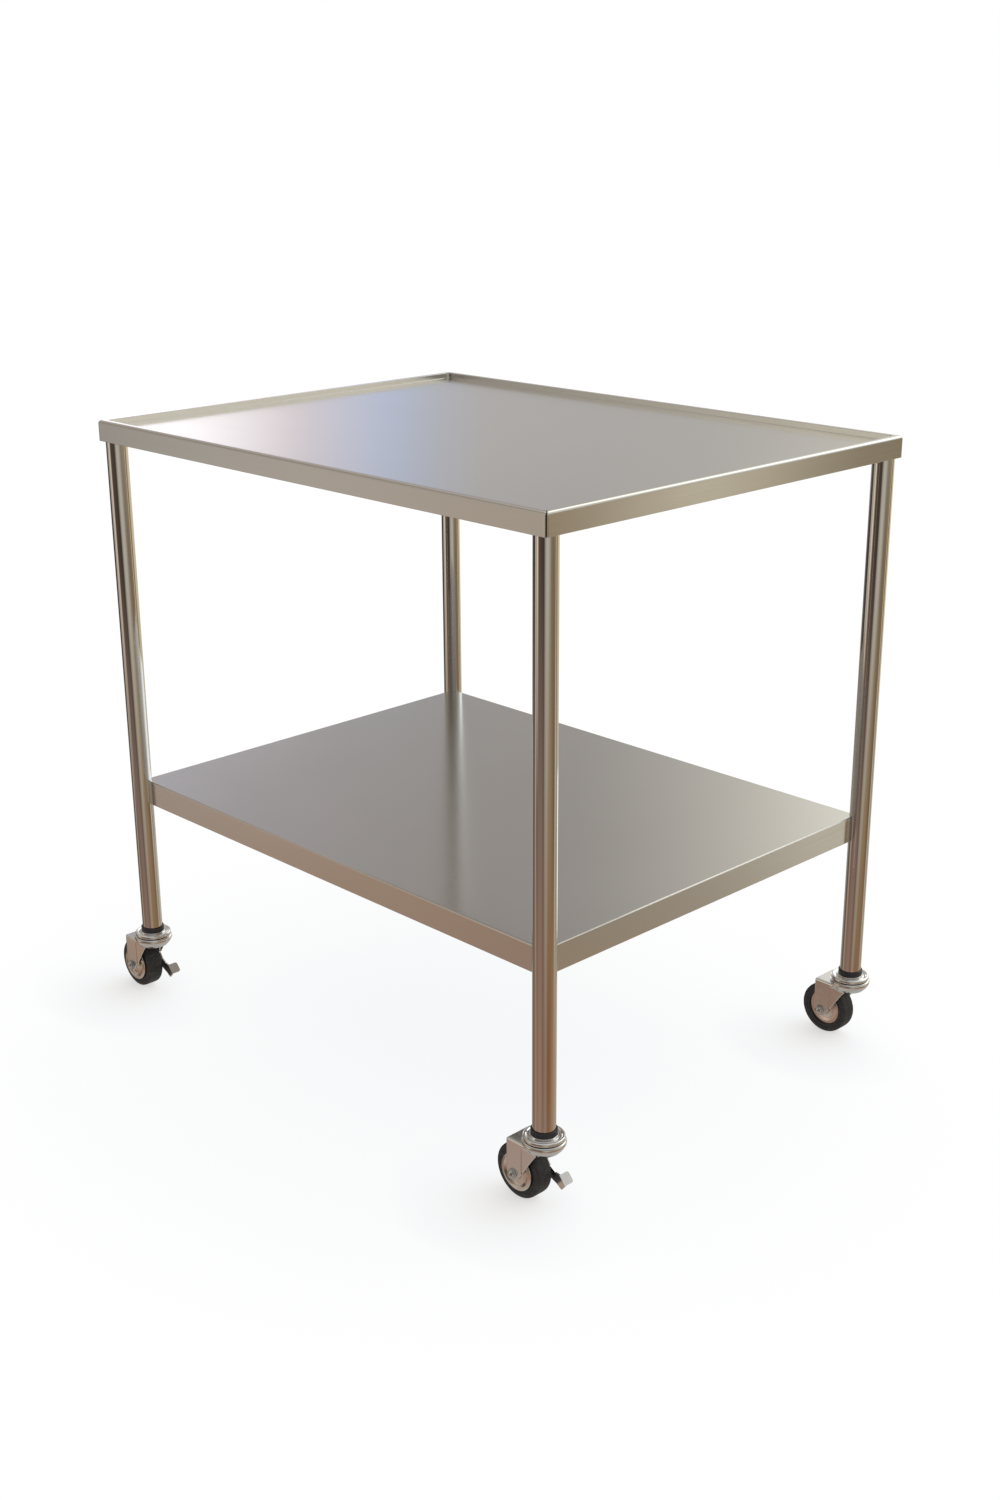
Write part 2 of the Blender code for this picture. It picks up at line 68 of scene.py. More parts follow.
# Worktop
RIM_WIDTH = 0.010
RIM_RISE = 0.008
TOP_SKIRT = 0.030
SHELF_SKIRT = 0.038
SEAM_DEPTH = 0.0022
CORNER_RADIUS = 0.0070
CORNER_POINTS = 9
# Which steps round a corner are the walls of its open seam; these walls take the dark seam finish, which
# paints in the shade inside the seam
SEAM_WALLS_PAINTED_DARK = (3, 4)
# Which rings of the worktop's rounded profile, counted from its pan, run down its outer side
WORKTOP_SEAM = (13, 25)
NO_SEAM = (0, 0)
# How far past the rim the pan's first and last rings lie
PAN_MARGIN = 0.012

# Legs and what fits in them
LEG_WALL = 0.0015
LEG_SEGMENTS = 96

# Casters. Heights are above the floor, and distances are from the leg's axis.
TRAIL = 0.036
WHEEL_RADIUS = 0.039
WHEEL_HALF_WIDTH = 0.0125
HUB_RADIUS = 0.0262
GUARD_RADIUS = 0.0270
SPACER_RADIUS = 0.0065
AXLE_RADIUS = 0.004
AXLE_HEAD = 0.013
BOLT_HEAD_THICK = 0.005
NUT_THICK = 0.0034
STEM_RADIUS = 0.006
STEM_TOP = 0.160
COLLAR_RADIUS = 0.0178
COLLAR_TOP = 0.1137
COLLAR_BOTTOM = 0.1065
UPPER_RACE_RADIUS = 0.0280
LOWER_RACE_RADIUS = 0.0295
LOWER_RACE_TOP = 0.0982
RACE_SKIRT_BOTTOM = 0.0815
FORK_TOP = 0.0885
FORK_SHEET = 0.0022
FORK_HALF_WIDTH = 0.0216
FORK_BACK = 0.0473
FORK_FRONT = 0.0120
FORK_TOE = 0.0095
# The front part of each cheek lies a step lower than the strap behind it: its left, low, right and high edges
CHEEK_STEP = (-0.0205, 0.0450, 0.0300, 0.0835)
CHEEK_STEP_DEPTH = 0.0009
FORK_VOXEL = 0.00055
FORK_RELAX_STEPS = 5
FORK_TRIANGLES_KEPT = 0.35
PEDAL_PIVOT = (-0.022, 0.0700)
PEDAL_NEAR = 0.0152
PEDAL_SHEET = 0.0022
PEDAL_TAB = 0.0140
# The ends of the foot tab's fold, seen from the side
TAB_INNER = (0.0130, 0.0420)
TAB_OUTER = (0.0235, 0.0300)
PEDAL_PIN_RADIUS = 0.0025
SHOE_ANGLE = 54.0
SHOE_HALF_WIDTH = 0.005
SHOE_LENGTH = 0.013

CORNERS = {"front_left": True, "front_right": True, "back_right": False, "back_left": False}

# ---------------------------------------------------------------- camera, light, floor

STRUCTURE_X = sum(corner.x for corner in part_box("worktop")) / 2
CAMERA_PLACE = Vector((1.90927 + STRUCTURE_X, -1.83021, 1.35710))
CAMERA_AZIMUTH = 46.134
CAMERA_ELEVATION = 19.915
CAMERA_ROLL = -0.0068
CAMERA_LENS = 44.935
CAMERA_SENSOR = 36.0
CAMERA_SHIFT = (0.00487, 0.01557)

# The room that the steel mirrors, made up and tuned: at each height, in degrees, its
# colours round the table, by azimuth in degrees from +X towards +Y.
ROOM = {
    -46: {-135: (0.42, 0.39, 0.35), 0: (0.40, 0.37, 0.33), 90: (0.44, 0.42, 0.39)},
    -29: {
        -170: (0.20, 0.15, 0.11), -153: (0.26, 0.13, 0.06), -147: (0.32, 0.18, 0.11),
        -138: (0.40, 0.28, 0.22), -129: (0.38, 0.26, 0.20), -120: (0.31, 0.19, 0.13),
        -111: (0.31, 0.19, 0.13), -93: (0.37, 0.23, 0.18), -77: (0.38, 0.22, 0.16), -61: (0.25, 0.15, 0.09),
        -33: (0.34, 0.24, 0.17), -17: (0.26, 0.12, 0.06), 2: (0.27, 0.12, 0.05), 39: (0.40, 0.26, 0.15),
        95: (0.45, 0.42, 0.38), 150: (0.40, 0.37, 0.33),
    },
    -21: {
        -170: (0.10, 0.08, 0.06), -155: (0.14, 0.09, 0.06), -148: (0.48, 0.39, 0.33),
        -142: (0.47, 0.36, 0.27), -135: (0.40, 0.27, 0.19), -128: (0.14, 0.10, 0.07),
        -111: (0.24, 0.17, 0.13), -93: (0.24, 0.17, 0.15), -77: (0.24, 0.17, 0.14), -61: (0.16, 0.11, 0.08),
        -48: (0.39, 0.32, 0.23), -33: (0.43, 0.37, 0.29), -17: (0.32, 0.24, 0.16), 2: (0.34, 0.23, 0.12),
        39: (0.16, 0.11, 0.07), 46: (0.34, 0.32, 0.26), 52: (0.38, 0.36, 0.30), 55: (0.95, 0.91, 0.76),
        61: (0.27, 0.22, 0.16), 95: (0.65, 0.60, 0.52), 150: (0.40, 0.37, 0.34),
    },
    -13: {
        -170: (0.04, 0.03, 0.03), -154: (0.06, 0.05, 0.04), -148: (0.48, 0.46, 0.42),
        -142: (0.58, 0.52, 0.46), -134: (0.46, 0.39, 0.31), -131: (0.46, 0.39, 0.30),
        -125: (1.05, 0.92, 0.75), -116: (0.45, 0.37, 0.29), -107: (0.10, 0.07, 0.05),
        -61: (0.05, 0.04, 0.03), -48: (0.42, 0.39, 0.34), -33: (0.56, 0.53, 0.45), -17: (0.50, 0.45, 0.36),
        2: (0.24, 0.21, 0.15), 20: (0.20, 0.16, 0.11), 39: (0.32, 0.20, 0.09), 47.5: (0.25, 0.18, 0.11),
        50.3: (1.30, 1.24, 0.98), 52.8: (0.32, 0.25, 0.16), 56: (0.22, 0.17, 0.11), 66: (0.30, 0.21, 0.10),
        80: (0.78, 0.66, 0.45), 95: (0.79, 0.69, 0.50), 150: (0.40, 0.37, 0.34), 166: (0.10, 0.08, 0.07),
    },
    3: {
        -165: (0.18, 0.15, 0.12), -142: (0.42, 0.38, 0.33), -133: (0.38, 0.34, 0.28),
        -125: (0.80, 0.73, 0.61), -107: (0.12, 0.10, 0.08), -60: (0.12, 0.10, 0.09),
        -33: (0.58, 0.55, 0.47), 0: (0.42, 0.39, 0.32), 30: (0.80, 0.76, 0.64), 42: (0.50, 0.46, 0.38),
        47.5: (0.29, 0.25, 0.19), 50.3: (0.95, 0.90, 0.72), 52.8: (0.26, 0.22, 0.16),
        56: (0.20, 0.17, 0.12), 66: (0.32, 0.27, 0.19), 82: (0.86, 0.77, 0.60), 121: (1.02, 0.99, 0.86),
        125: (0.58, 0.56, 0.51), 129: (0.50, 0.48, 0.46), 137: (0.53, 0.51, 0.51),
        139.5: (0.56, 0.65, 0.87), 142: (0.88, 0.80, 0.82), 146: (1.60, 1.54, 1.58),
        156: (1.70, 1.68, 1.72), 170: (0.60, 0.55, 0.50),
    },
    11: {
        -165: (0.22, 0.18, 0.14), -138: (0.45, 0.42, 0.38), -131: (0.72, 0.68, 0.58),
        -124: (1.20, 1.15, 0.95), -115: (0.60, 0.55, 0.45), -93: (0.12, 0.10, 0.08),
        -60: (0.18, 0.15, 0.13), -33: (0.62, 0.60, 0.52), 0: (0.50, 0.47, 0.40), 30: (1.20, 1.16, 0.98),
        42: (1.20, 1.16, 0.98), 50: (0.70, 0.66, 0.54), 73: (1.20, 1.14, 0.96), 121: (1.02, 0.99, 0.86),
        125: (0.58, 0.56, 0.51), 129: (0.49, 0.47, 0.45), 137: (0.53, 0.51, 0.50),
        139.5: (0.56, 0.65, 0.87), 142: (0.84, 0.76, 0.79), 146: (1.52, 1.46, 1.50),
        156: (1.65, 1.64, 1.68), 170: (0.50, 0.45, 0.40),
    },
    18: {
        -165: (0.40, 0.35, 0.30), -150: (0.30, 0.26, 0.21), -93: (0.14, 0.12, 0.10),
        -40: (0.16, 0.14, 0.12), -10: (0.20, 0.18, 0.16), 30: (0.36, 0.35, 0.32), 50: (0.60, 0.59, 0.56),
        62: (1.20, 1.30, 1.36), 108: (1.80, 1.95, 2.10), 116: (1.20, 1.18, 1.06), 124: (1.05, 1.02, 0.90),
        128: (0.64, 0.62, 0.56), 133: (0.37, 0.35, 0.33), 140: (0.39, 0.37, 0.35), 147: (0.41, 0.40, 0.44),
        156: (0.46, 0.45, 0.46), 170: (0.46, 0.42, 0.38),
    },
    45: {
        -164: (0.56, 0.50, 0.44), -140: (0.50, 0.44, 0.38), -100: (0.28, 0.25, 0.22), 0: (0.30, 0.29, 0.27),
        46: (0.66, 0.64, 0.58), 54: (0.90, 0.87, 0.78), 64: (1.60, 1.55, 1.36), 108: (1.60, 1.55, 1.38),
        116: (0.80, 0.77, 0.69), 127: (0.40, 0.38, 0.34), 135: (0.30, 0.28, 0.26), 145: (0.34, 0.31, 0.29),
        158: (0.52, 0.47, 0.41),
    },
    57: {-135: (0.56, 0.55, 0.52), 0: (0.66, 0.65, 0.62), 90: (0.82, 0.81, 0.78)},
}
SOFT_LIGHT = 0.95
KEY_PLACE = Vector((0.2, 2.4, 2.6))
KEY_SIZE = 1.8
KEY_POWER = 90.0
KEY_AIM_HEIGHT = 0.2
FLOOR_SIZE = 60.0
FLOOR_LIGHT = 1.015
# Painted shadows on the glowing floor: how far the floor looks up for what stands over it, how dark that
# makes it, and which way it leans
FLOOR_PAINTED_SHADOWS = ((1.2, 0.13, (0.0, 0.5)), (0.16, 0.34, (0.2, 1.0)))
# The floor's light in deep shadow, in half shadow and in the open, and its tint at each
FLOOR_LEVELS = (0.85, 0.94, 1.0)
FLOOR_TINTS = ((1.0, 0.993, 0.980, 1.0), (0.983, 0.991, 1.0, 1.0), (1.0, 1.0, 1.0, 1.0))


def camera():
    azimuth, elevation = math.radians(CAMERA_AZIMUTH), math.radians(CAMERA_ELEVATION)
    level = math.cos(elevation)
    back = Vector((math.sin(azimuth) * level, -math.cos(azimuth) * level, math.sin(elevation)))
    right = Vector((math.cos(azimuth), math.sin(azimuth), 0.0))
    up = back.cross(right)
    turned_right = right * math.cos(CAMERA_ROLL) + up * math.sin(CAMERA_ROLL)
    turned_up = up * math.cos(CAMERA_ROLL) - right * math.sin(CAMERA_ROLL)
    data = bpy.data.cameras.new("camera")
    data.sensor_width = CAMERA_SENSOR
    data.lens = CAMERA_LENS
    data.shift_x, data.shift_y = CAMERA_SHIFT
    data.clip_end = 100.0
    made = bpy.data.objects.new("camera", data)
    axes = Matrix((turned_right, turned_up, back)).transposed()
    made.matrix_world = Matrix.Translation(CAMERA_PLACE) @ axes.to_4x4()
    bpy.context.scene.collection.objects.link(made)
    bpy.context.scene.camera = made


class Graph:
    """Short calls for building a node tree."""

    def __init__(self, tree):
        self.tree = tree

    def node(self, kind, settings=None, **inputs):
        made = self.tree.nodes.new(kind)
        for key, value in (settings or {}).items():
            setattr(made, key, value)
        for key, value in inputs.items():
            self.put(made, key.replace("_", " "), value)
        return made

    def put(self, node, socket, value):
        target = node.inputs[int(socket)] if str(socket).isdigit() else node.inputs[socket]
        if isinstance(value, bpy.types.NodeSocket):
            self.tree.links.new(value, target)
        else:
            target.default_value = value

    def math(self, operation, a, b=0.0, clamp=False):
        made = self.node("ShaderNodeMath", {"operation": operation, "use_clamp": clamp})
        self.put(made, 0, a)
        self.put(made, 1, b)
        return made.outputs[0]

    def mix(self, factor, a, b):
        made = self.node("ShaderNodeMix", {"data_type": "RGBA"})
        for socket, value in ((0, factor), (6, a), (7, b)):
            self.put(made, socket, value)
        return made.outputs[2]

    def spread(self, value, low, high, to_low, to_high):
        made = self.node("ShaderNodeMapRange")
        for socket, number in enumerate((value, low, high, to_low, to_high)):
            self.put(made, socket, number)
        return made.outputs[0]


def room_band(graph, turn, colours):
    """The room's colours round the table at one height."""
    made = graph.node("ShaderNodeValToRGB", Fac=turn)
    stops = sorted(colours.items())
    seam = [(a + b) / 2 for a, b in zip(stops[0][1], stops[-1][1])]
    stops = [(-180, seam)] + stops + [(180, seam)]
    elements = made.color_ramp.elements
    while len(elements) < len(stops):
        elements.new(0.5)
    for element, (azimuth, _) in zip(elements, stops):
        element.position = (azimuth + 180) / 360
    for element, (_, colour) in zip(elements, stops):
        element.color = (*colour, 1.0)
    return made.outputs[0]


def world():
    """A white backdrop, soft even light on dull surfaces, and the room for what shines."""
    made = bpy.data.worlds.new("studio")
    made.use_nodes = True
    graph = Graph(made.node_tree)
    made.node_tree.nodes.clear()
    direction = graph.node("ShaderNodeTexCoord").outputs["Generated"]
    x, y, z = graph.node("ShaderNodeSeparateXYZ", Vector=direction).outputs
    turn = graph.math("ADD", graph.math("DIVIDE", graph.math("ARCTAN2", y, x), 2 * math.pi), 0.5)
    height = graph.math("MULTIPLY", graph.math("ARCSINE", z), 180 / math.pi)
    levels = sorted(ROOM)
    colour = room_band(graph, turn, ROOM[levels[0]])
    for low, high in zip(levels, levels[1:]):
        share = graph.spread(height, low, high, 0.0, 1.0)
        colour = graph.mix(share, colour, room_band(graph, turn, ROOM[high]))
    path = graph.node("ShaderNodeLightPath")
    colour = graph.mix(path.outputs["Is Diffuse Ray"], colour, (SOFT_LIGHT, SOFT_LIGHT, SOFT_LIGHT, 1.0))
    colour = graph.mix(path.outputs["Is Camera Ray"], colour, (1.0, 1.0, 1.0, 1.0))
    background = graph.node("ShaderNodeBackground", Color=colour)
    out = graph.node("ShaderNodeOutputWorld")
    made.node_tree.links.new(background.outputs[0], out.inputs["Surface"])
    bpy.context.scene.world = made


def key_light():
    """A large soft box above and behind the table. It lights the table only: the floor's shadows towards the
    front are painted into the floor.
    """
    data = bpy.data.lights.new("key", "AREA")
    data.shape = "SQUARE"
    data.size = KEY_SIZE
    data.energy = KEY_POWER
    made = bpy.data.objects.new("key", data)
    aim = Vector((STRUCTURE_X, 0.0, KEY_AIM_HEIGHT)) - KEY_PLACE
    made.rotation_euler = aim.to_track_quat("-Z", "Y").to_euler()
    made.location = KEY_PLACE
    made.visible_glossy = False
    bpy.context.scene.collection.objects.link(made)


def floor():
    """A plain white studio floor that gives off its own even light. Shadows are painted into that light: only
    what stands close over it takes light away, most of it on the side away from the key light."""
    bm = bmesh.new()
    half = FLOOR_SIZE / 2
    corners = ((-half, -half, 0), (half, -half, 0), (half, half, 0), (-half, half, 0))
    bm.faces.new([bm.verts.new(p) for p in corners])
    mesh = bpy.data.meshes.new("floor")
    bm.to_mesh(mesh)
    bm.free()
    made = bpy.data.objects.new("floor", mesh)
    paint = bpy.data.materials.new("pale_floor_painted_shadows")
    paint.use_nodes = True
    graph = Graph(paint.node_tree)
    paint.node_tree.nodes.clear()
    light = FLOOR_LIGHT
    # Painted shadows: each pass dims the floor's glow where ambient occlusion finds something standing close
    # over it
    for reach, depth, lean in FLOOR_PAINTED_SHADOWS:
        toward_key = graph.node("ShaderNodeCombineXYZ", X=lean[0], Y=lean[1], Z=1.0)
        open_sky = graph.node("ShaderNodeAmbientOcclusion", {"samples": 24}, Distance=reach)
        graph.put(open_sky, "Normal", toward_key.outputs[0])
        painted_shadow = graph.math("MULTIPLY", graph.math("SUBTRACT", 1.0, open_sky.outputs["AO"]), depth)
        light = graph.math("SUBTRACT", light, painted_shadow)
    deep, half_lit, lit = FLOOR_LEVELS
    deep_tint, half_tint, lit_tint = FLOOR_TINTS
    tone = graph.mix(graph.spread(light, deep, half_lit, 0.0, 1.0), deep_tint, half_tint)
    tone = graph.mix(graph.spread(light, half_lit, lit, 0.0, 1.0), tone, lit_tint)
    glow = graph.node("ShaderNodeEmission", Color=tone, Strength=light)
    out = graph.node("ShaderNodeOutputMaterial")
    paint.node_tree.links.new(glow.outputs[0], out.inputs["Surface"])
    mesh.materials.append(paint)
    made.visible_glossy = made.visible_diffuse = False
    bpy.context.scene.collection.objects.link(made)


# ---------------------------------------------------------------- materials


def finish_of(name, colour, metallic):
    """A new material, its graph and its shader, with the colour and metallic value set on the shader."""
    made = bpy.data.materials.new(name)
    made.use_nodes = True
    shader = made.node_tree.nodes["Principled BSDF"]
    shader.inputs["Metallic"].default_value = metallic
    shader.inputs["Base Color"].default_value = (*colour, 1.0)
    return made, Graph(made.node_tree), shader


def stretched(graph, scale):
    """Object coordinates, scaled by a different amount along each axis."""
    place = graph.node("ShaderNodeTexCoord").outputs["Object"]
    return graph.node("ShaderNodeMapping", Vector=place, Scale=scale).outputs[0]


def noise(graph, scale, detail=2.0):
    """Noise whose grains lie a chosen number to the metre along each axis."""
    made = graph.node("ShaderNodeTexNoise", Vector=stretched(graph, scale), Scale=1.0, Detail=detail)
    return made.outputs["Fac"]


def bump(graph, shader, height, depth, under=None):
    """Adds a relief, with its depth in metres, to what is already there."""
    made = graph.node("ShaderNodeBump", Height=height, Strength=1.0, Distance=depth)
    if under is not None:
        graph.put(made, "Normal", under)
    graph.put(shader, "Normal", made.outputs[0])
    return made.outputs[0]


def tint(graph, shader, value, dark, light):
    """Varies the colour between two close shades."""
    graph.put(shader, "Base Color", graph.mix(value, (*dark, 1.0), (*light, 1.0)))


def sheet_steel(name, roughness, grain):
    """Satin stainless sheet. The grain runs along each face, and faces that look along X carry it along Y."""
    made, graph, shader = finish_of(name, (0.72, 0.71, 0.70), 1.0)
    along_x, along_y = noise(graph, (5.0, 1400.0, 1400.0)), noise(graph, (1400.0, 5.0, 1400.0))
    facing = graph.node("ShaderNodeSeparateXYZ", Vector=graph.node("ShaderNodeNewGeometry").outputs["Normal"])
    end_face = graph.math("GREATER_THAN", graph.math("ABSOLUTE", facing.outputs[0]), 0.7)
    lines = graph.mix(end_face, along_x, along_y)
    cloud = noise(graph, (5.0, 5.0, 5.0), 3.0)
    tint(graph, shader, cloud, (0.712, 0.702, 0.690), (0.732, 0.722, 0.712))
    rough = graph.math("ADD", graph.spread(cloud, 0.3, 0.7, -0.012, 0.012), roughness)
    rough = graph.math("ADD", rough, graph.spread(lines, 0.3, 0.7, -0.015, 0.015))
    graph.put(shader, "Roughness", rough)
    bump(graph, shader, lines, grain)
    return made


def tube_steel(name):
    """Polished stainless tube, with faint polishing lines round it and long draw marks along it."""
    made, graph, shader = finish_of(name, (0.74, 0.72, 0.70), 1.0)
    rings, draws = noise(graph, (60.0, 60.0, 2600.0)), noise(graph, (420.0, 420.0, 2.0))
    cloud = noise(graph, (30.0, 30.0, 9.0), 3.0)
    tint(graph, shader, cloud, (0.72, 0.70, 0.675), (0.77, 0.755, 0.74))
    patchy, ringed = graph.spread(cloud, 0.3, 0.7, 0.045, 0.075), graph.spread(rings, 0.4, 0.7, 0.0, 0.02)
    graph.put(shader, "Roughness", graph.math("ADD", patchy, ringed))
    under = bump(graph, shader, draws, 0.000004)
    bump(graph, shader, rings, 0.0000012, under=under)
    return made


def dull_zinc(name):
    """Hot-dip galvanised steel, with its crystals showing."""
    made, graph, shader = finish_of(name, (0.52, 0.54, 0.55), 1.0)
    cells = graph.node("ShaderNodeTexVoronoi", Vector=stretched(graph, (110.0, 110.0, 110.0)), Scale=1.0)
    patch = graph.node("ShaderNodeSeparateColor", Color=cells.outputs["Color"]).outputs[0]
    tint(graph, shader, patch, (0.44, 0.46, 0.47), (0.62, 0.63, 0.64))
    graph.put(shader, "Roughness", graph.spread(patch, 0.0, 1.0, 0.36, 0.55))
    bump(graph, shader, noise(graph, (900.0, 900.0, 900.0)), 0.00003)
    return made


def plated(name, colour, roughness, grain=0.0000008):
    """Bright zinc or nickel plate on pressed steel: a faint orange peel, small pits and a little tarnish."""
    made, graph, shader = finish_of(name, colour, 1.0)
    cloud = noise(graph, (120.0, 120.0, 120.0), 3.0)
    dark, light = tuple(c * 0.93 for c in colour), tuple(min(1.0, c * 1.05) for c in colour)
    tint(graph, shader, cloud, dark, light)
    peel = noise(graph, (700.0, 700.0, 700.0), 2.0)
    graph.put(shader, "Roughness", graph.spread(cloud, 0.3, 0.7, roughness - 0.03, roughness + 0.05))
    under = bump(graph, shader, noise(graph, (90.0, 90.0, 90.0), 1.0), grain * 8)
    bump(graph, shader, peel, grain, under=under)
    return made


def nylon(name):
    """Black moulded nylon with a fine spark-eroded texture."""
    made, graph, shader = finish_of(name, (0.018, 0.018, 0.020), 0.0)
    grain = noise(graph, (2200.0, 2200.0, 2200.0), 2.0)
    tint(graph, shader, grain, (0.014, 0.014, 0.016), (0.024, 0.024, 0.027))
    graph.put(shader, "Roughness", graph.spread(grain, 0.3, 0.7, 0.36, 0.52))
    bump(graph, shader, grain, 0.00003)
    return made


def rubber(name):
    """Black tyre rubber: matt, with fine pores, and a little dust and scuffing on the tread."""
    made, graph, shader = finish_of(name, (0.020, 0.020, 0.021), 0.0)
    pores, scuff = noise(graph, (1500.0, 1500.0, 1500.0), 3.0), noise(graph, (210.0, 90.0, 210.0), 4.0)
    dust = graph.spread(scuff, 0.50, 0.78, 0.0, 1.0)
    tint(graph, shader, dust, (0.017, 0.017, 0.018), (0.045, 0.044, 0.042))
    graph.put(shader, "Roughness", graph.spread(scuff, 0.3, 0.75, 0.44, 0.66))
    under = bump(graph, shader, scuff, 0.00010)
    bump(graph, shader, pores, 0.00004, under=under)
    return made


FINISHES = {
    "stainless_sheet": sheet_steel("satin_stainless_sheet", 0.17, 0.0000012),
    # The walls of the worktop's open corner seams: a dark plate colour that is painted shade inside the seam
    "seam": plated("seam_painted_shade", (0.20, 0.18, 0.14), 0.40),
    "stainless_tube": tube_steel("polished_stainless_tube"),
    "galvanised_steel": dull_zinc("galvanised_sheet"),
    "zinc_plate": plated("bright_zinc_plate", (0.85, 0.86, 0.87), 0.13),
    "axle_steel": plated("bright_turned_steel", (0.66, 0.67, 0.69), 0.16),
    "wheel_disc": plated("nickelled_disc", (0.86, 0.80, 0.75), 0.17),
    "black_nylon": nylon("moulded_black_nylon"),
    "tyre_rubber": rubber("black_tyre_rubber"),
}
SLOT_OF = {entry["node"]: entry["material_slot"] for entry in frame["record"]["subparts"]}
BODY_OF = {node: body for body, nodes in frame["record"]["behaviour"]["bodies"].items() for node in nodes}

# ---------------------------------------------------------------- shapes


def arc(centre, radius, start, end, steps):
    """Points along an arc, from one angle to another in degrees."""
    angles = [math.radians(start + (end - start) * i / steps) for i in range(steps + 1)]
    return [(centre[0] + radius * math.cos(a), centre[1] + radius * math.sin(a)) for a in angles]


def rounded(points, closed=True, steps=4):
    """An outline of (x, y, radius) points with each corner rounded by a short curve."""
    made = []
    for i, (x, y, radius) in enumerate(points):
        at_end = not closed and i in (0, len(points) - 1)
        if radius == 0.0 or at_end:
            made.append((x, y))
            continue
        here = Vector((x, y))
        before = Vector(points[i - 1][:2]) - here
        after = Vector(points[(i + 1) % len(points)][:2]) - here
        half = before.angle(after) / 2
        reach = min(radius / math.tan(half), before.length * 0.49, after.length * 0.49)
        start, end = here + before.normalized() * reach, here + after.normalized() * reach
        for step in range(steps + 1):
            s = step / steps
            point = start * (1 - s) ** 2 + here * 2 * s * (1 - s) + end * s**2
            made.append((point.x, point.y))
    return made


def turned(profile, sides, axis="Z"):
    """A closed profile of (radius, height) points turned about an axis; a radius of 0 lies on it."""
    bm = bmesh.new()
    rings = []
    for radius, height in profile:
        if radius == 0.0:
            rings.append([bm.verts.new((0.0, 0.0, height))])
            continue
        angles = [2 * math.pi * i / sides for i in range(sides)]
        rings.append([bm.verts.new((radius * math.cos(a), radius * math.sin(a), height)) for a in angles])
    for ring, following in zip(rings, rings[1:] + rings[:1]):
        if len(ring) == 1 and len(following) == 1:
            continue
        for i in range(sides):
            j = (i + 1) % sides
            corners = [ring[i % len(ring)], ring[j % len(ring)]]
            corners += [following[j % len(following)], following[i % len(following)]]
            bm.faces.new(dict.fromkeys(corners))
    if axis == "Y":
        bmesh.ops.rotate(bm, verts=bm.verts, matrix=Matrix.Rotation(math.radians(-90), 3, "X"))
    return bm


def extruded(outline, start, end, axis="Y"):
    """An outline pushed along an axis from start to end: (x, z) points for axis Y and (y, z) for axis X."""

    def place(point, along):
        return (point[0], along, point[1]) if axis == "Y" else (along, point[0], point[1])

    bm = bmesh.new()
    near = [bm.verts.new(place(p, start)) for p in outline]
    far = [bm.verts.new(place(p, end)) for p in outline]
    bm.faces.new(near)
    bm.faces.new(reversed(far))
    for i in range(len(outline)):
        j = (i + 1) % len(outline)
        bm.faces.new((near[i], far[i], far[j], near[j]))
    return bm


def solid(name, bm):
    """A closed mesh object."""
    bmesh.ops.remove_doubles(bm, verts=bm.verts, dist=1e-7)
    bmesh.ops.recalc_face_normals(bm, faces=bm.faces)
    mesh = bpy.data.meshes.new(name)
    bm.to_mesh(mesh)
    bm.free()
    made = bpy.data.objects.new(name, mesh)
    bpy.context.scene.collection.objects.link(made)
    return made


def settle(made):
    """Turns an object's modifiers into its mesh."""
    bpy.context.view_layer.update()
    graph = bpy.context.evaluated_depsgraph_get()
    mesh = bpy.data.meshes.new_from_object(made.evaluated_get(graph), depsgraph=graph)
    made.modifiers.clear()
    made.data = mesh
    return made


def combine(target, tool, operation):
    cut = target.modifiers.new(operation, "BOOLEAN")
    cut.operation = operation
    cut.solver = "EXACT"
    cut.object = tool
    settle(target)
    bpy.data.objects.remove(tool, do_unlink=True)
    return target


def soften(made, width, segments=2, angle=40):
    """Breaks the sharp edges by a small bevel."""
    edge = made.modifiers.new("edges", "BEVEL")
    edge.width = width
    edge.segments = segments
    edge.limit_method = "ANGLE"
    edge.angle_limit = math.radians(angle)
    edge.use_clamp_overlap = True
    return settle(made)


def smooth(made, angle=35):
    made.data.shade_smooth()
    made.data.set_sharp_from_angle(angle=math.radians(angle))
    weigh = made.modifiers.new("normals", "WEIGHTED_NORMAL")
    weigh.keep_sharp = True
    return settle(made)


def place(made, node, at=(0.0, 0.0, 0.0), extra=()):
    """Gives a piece its place and finish, and has it stand for its CAD node and ride on that node's body."""
    made.data.transform(Matrix.Translation(Vector(at)))
    of_faces = [face.material_index for face in made.data.polygons]
    made.data.materials.clear()
    for finish in (SLOT_OF[node],) + tuple(extra):
        made.data.materials.append(FINISHES[finish])
    made.data.polygons.foreach_set("material_index", of_faces)
    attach(made, BODY_OF[node])
    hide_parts(node)
    return made


# ---------------------------------------------------------------- worktop and shelf


def corner_path(radius, open_seam):
    """How far a corner's points lie from the sharp corner, along the edge before it and the edge after it."""
    if open_seam:
        half = [(0.0040, 0.0), (0.0027, 0.0), (0.0022, 0.0003), (0.0020, 0.0008), (SEAM_DEPTH, SEAM_DEPTH)]
        return half + [(b, a) for a, b in reversed(half[:-1])]
    shares = [i / (CORNER_POINTS - 1) for i in range(CORNER_POINTS)]
    return [(radius * (1 - share) ** 2, radius * share**2) for share in shares]


def pan_ring(bm, half_x, half_y, height, radius, open_seam):
    """One ring of a folded pan. Its corners are round, or show the open seam between two folds."""
    corners = [(-1, -1), (1, -1), (1, 1), (-1, 1)]
    made = []
    for i, (sx, sy) in enumerate(corners):
        here = Vector((sx * half_x, sy * half_y))
        before, after = corners[i - 1], corners[(i + 1) % 4]
        to_before = Vector(((before[0] - sx) / 2, (before[1] - sy) / 2))
        to_after = Vector(((after[0] - sx) / 2, (after[1] - sy) / 2))
        for a, b in corner_path(radius, open_seam):
            point = here + to_before * a + to_after * b
            made.append(bm.verts.new((point.x, point.y, height)))
    return made


